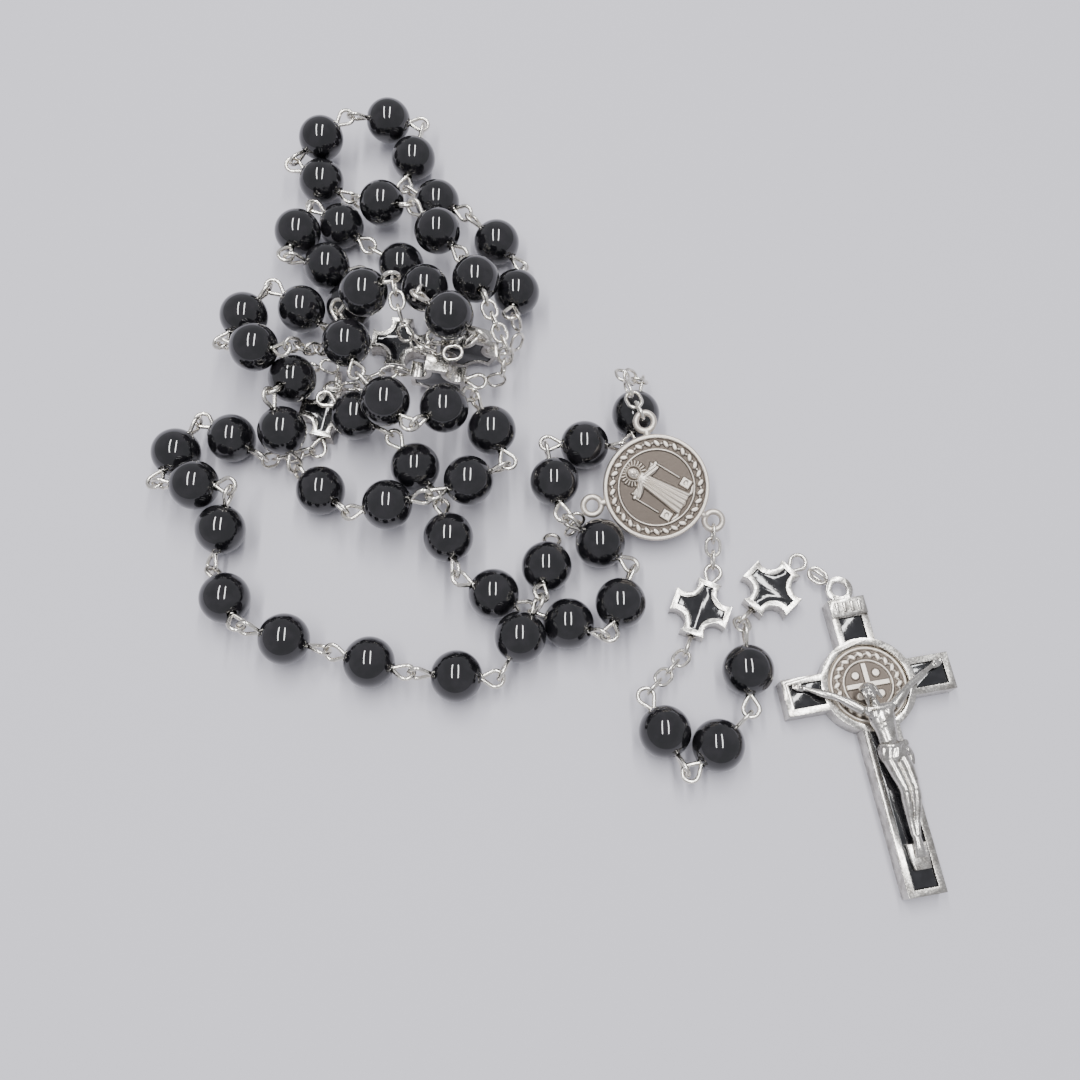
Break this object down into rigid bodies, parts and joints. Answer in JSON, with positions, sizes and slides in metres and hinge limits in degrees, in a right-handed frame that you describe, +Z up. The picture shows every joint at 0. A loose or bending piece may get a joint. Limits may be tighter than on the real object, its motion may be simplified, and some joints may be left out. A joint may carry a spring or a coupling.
{
  "type": "rosary",
  "caption": "Rosary lying in a loose heap: round black glass beads on wire eye pins, small enamelled crosses, a round medal and a crucifix.",
  "frame": {"origin": "centre of the heap on the surface that it lies on", "axes": "+X to the right along the heap, +Y away from the crucifix end, +Z up"},
  "size_m": [0.1282, 0.14, 0.0196],
  "materials": {
    "black_glass": "opaque polished glass",
    "black_enamel": "glossy domed enamel",
    "nickel_silver": "polished cast nickel silver with soft edges",
    "silver_wire": "bright drawn wire",
    "antique_silver": "antiqued silver plate, dark in the recesses"
  },
  "bodies": {
    "loop": {"centre_medal": "antique_silver", "cross_1_frame": "nickel_silver", "cross_1_enamel": "black_enamel", "cross_2_frame": "nickel_silver", "cross_2_enamel": "black_enamel", "cross_3_frame": "nickel_silver", "cross_3_enamel": "black_enamel", "cross_4_frame": "nickel_silver", "cross_4_enamel": "black_enamel", "loop_cross_pins": "silver_wire", "decade_1_beads": "black_glass", "decade_1_pins": "silver_wire", "decade_2_beads": "black_glass", "decade_2_pins": "silver_wire", "decade_3_beads": "black_glass", "decade_3_pins": "silver_wire", "decade_4_beads": "black_glass", "decade_4_pins": "silver_wire", "decade_5_beads": "black_glass", "decade_5_pins": "silver_wire", "chain_medal_d1": "silver_wire", "chain_d1_c1": "silver_wire", "chain_c1_d2": "silver_wire", "chain_d2_c2": "silver_wire", "chain_c2_d3": "silver_wire", "chain_d3_c4": "silver_wire", "chain_c4_d4": "silver_wire", "chain_d4_c3": "silver_wire", "chain_c3_d5": "silver_wire", "chain_d5_medal": "silver_wire"},
    "decade_1_bead_3": {"decade_1_bead_3": "black_glass"},
    "decade_1_bead_4": {"decade_1_bead_4": "black_glass"},
    "decade_1_bead_5": {"decade_1_bead_5": "black_glass"},
    "decade_1_bead_6": {"decade_1_bead_6": "black_glass"},
    "decade_1_bead_7": {"decade_1_bead_7": "black_glass"},
    "decade_1_bead_8": {"decade_1_bead_8": "black_glass"},
    "pendant_chain_1": {"pendant_chain_1": "silver_wire"},
    "cross_5_pin": {"cross_5_pin": "silver_wire"},
    "cross_5": {"cross_5_frame": "nickel_silver", "cross_5_enamel": "black_enamel"},
    "pendant_chain_2": {"pendant_chain_2": "silver_wire"},
    "pendant_pin_1": {"pendant_pin_1": "silver_wire"},
    "pendant_bead_1": {"pendant_bead_1": "black_glass"},
    "pendant_pin_2": {"pendant_pin_2": "silver_wire"},
    "pendant_bead_2": {"pendant_bead_2": "black_glass"},
    "pendant_pin_3": {"pendant_pin_3": "silver_wire"},
    "pendant_bead_3": {"pendant_bead_3": "black_glass"},
    "pendant_chain_3": {"pendant_chain_3": "silver_wire"},
    "cross_6_pin": {"cross_6_pin": "silver_wire"},
    "cross_6": {"cross_6_frame": "nickel_silver", "cross_6_enamel": "black_enamel"},
    "pendant_chain_4": {"pendant_chain_4": "silver_wire"},
    "crucifix": {"crucifix_frame": "nickel_silver", "crucifix_enamel": "black_enamel", "crucifix_medallion": "nickel_silver", "title_plate": "nickel_silver", "footrest": "nickel_silver", "corpus": "nickel_silver"}
  },
  "joints": [
    {"name": "spin_decade_bead_3", "type": "hinge", "parent": "loop", "child": "decade_1_bead_3", "pos_m": [-0.01293, -0.03745, 0.00434], "axis": [-0.9946, 0.0487, 0.0915], "continuous": true},
    {"name": "spin_decade_bead_4", "type": "hinge", "parent": "loop", "child": "decade_1_bead_4", "pos_m": [-0.02643, -0.03531, 0.00456], "axis": [-0.9588, 0.2755, -0.0696], "continuous": true},
    {"name": "spin_decade_bead_5", "type": "hinge", "parent": "loop", "child": "decade_1_bead_5", "pos_m": [-0.03962, -0.03185, 0.00539], "axis": [-0.953, 0.2226, 0.2057], "continuous": true},
    {"name": "spin_decade_bead_6", "type": "hinge", "parent": "loop", "child": "decade_1_bead_6", "pos_m": [-0.04965, -0.02498, 0.00458], "axis": [-0.4731, 0.8066, -0.3544], "continuous": true},
    {"name": "spin_decade_bead_7", "type": "hinge", "parent": "loop", "child": "decade_1_bead_7", "pos_m": [-0.0513, -0.0137, 0.00515], "axis": [0.2771, 0.8297, 0.4846], "continuous": true},
    {"name": "spin_decade_bead_8", "type": "hinge", "parent": "loop", "child": "decade_1_bead_8", "pos_m": [-0.0556, -0.00688, 0.00736], "axis": [-0.9721, 0.1169, -0.2035], "continuous": true},
    {"name": "swing_pendant_chain_1", "type": "hinge", "parent": "loop", "child": "pendant_chain_1", "pos_m": [0.02787, -0.01196, 0.0045], "axis": [0, 0, 1], "range_deg": [-8, 8]},
    {"name": "swing_cross_5", "type": "hinge", "parent": "pendant_chain_1", "child": "cross_5_pin", "pos_m": [0.0278, -0.01985, 0.0016], "axis": [0, 0, 1], "range_deg": [-8, 8]},
    {"name": "turn_cross_5", "type": "hinge", "parent": "cross_5_pin", "child": "cross_5", "pos_m": [0.0254, -0.0261, 0.0016], "axis": [-0.3584, -0.9336, 0], "range_deg": [-30, 30]},
    {"name": "swing_pendant_chain_2", "type": "hinge", "parent": "cross_5_pin", "child": "pendant_chain_2", "pos_m": [0.023, -0.03236, 0.0016], "axis": [0, 0, 1], "range_deg": [-6, 3]},
    {"name": "swing_pendant_bead_1", "type": "hinge", "parent": "pendant_chain_2", "child": "pendant_pin_1", "pos_m": [0.0161, -0.0405, 0.004], "axis": [0, 0, 1], "range_deg": [-6, 0]},
    {"name": "spin_pendant_bead_1", "type": "hinge", "parent": "pendant_pin_1", "child": "pendant_bead_1", "pos_m": [0.01881, -0.04591, 0.004], "axis": [0.4472, -0.8944, 0], "continuous": true},
    {"name": "swing_pendant_bead_2", "type": "hinge", "parent": "pendant_pin_1", "child": "pendant_pin_2", "pos_m": [0.02207, -0.05244, 0.004], "axis": [0, 0, 1], "range_deg": [-6, 0]},
    {"name": "spin_pendant_bead_2", "type": "hinge", "parent": "pendant_pin_2", "child": "pendant_bead_2", "pos_m": [0.02678, -0.04797, 0.004], "axis": [0.7248, 0.689, 0], "continuous": true},
    {"name": "swing_pendant_bead_3", "type": "hinge", "parent": "pendant_pin_2", "child": "pendant_pin_3", "pos_m": [0.03207, -0.04294, 0.004], "axis": [0, 0, 1], "range_deg": [-6, 1]},
    {"name": "spin_pendant_bead_3", "type": "hinge", "parent": "pendant_pin_3", "child": "pendant_bead_3", "pos_m": [0.03199, -0.03644, 0.004], "axis": [-0.0135, 0.9999, 0], "continuous": true},
    {"name": "swing_pendant_chain_3", "type": "hinge", "parent": "pendant_pin_3", "child": "pendant_chain_3", "pos_m": [0.0319, -0.03039, 0.004], "axis": [0, 0, 1], "range_deg": [-1, 6]},
    {"name": "swing_cross_6", "type": "hinge", "parent": "pendant_chain_3", "child": "cross_6_pin", "pos_m": [0.03216, -0.02754, 0.0016], "axis": [0, 0, 1], "range_deg": [-1, 6]},
    {"name": "turn_cross_6", "type": "hinge", "parent": "cross_6_pin", "child": "cross_6", "pos_m": [0.0369, -0.0228, 0.0016], "axis": [0.7071, 0.7071, 0], "range_deg": [-30, 30]},
    {"name": "swing_pendant_chain_4", "type": "hinge", "parent": "cross_6_pin", "child": "pendant_chain_4", "pos_m": [0.04164, -0.01806, 0.0016], "axis": [0, 0, 1], "range_deg": [-1, 6]},
    {"name": "swing_crucifix", "type": "hinge", "parent": "pendant_chain_4", "child": "crucifix", "pos_m": [0.04774, -0.02284, 0.0018], "axis": [0, 0, 1], "range_deg": [-1, 6]}
  ]
}
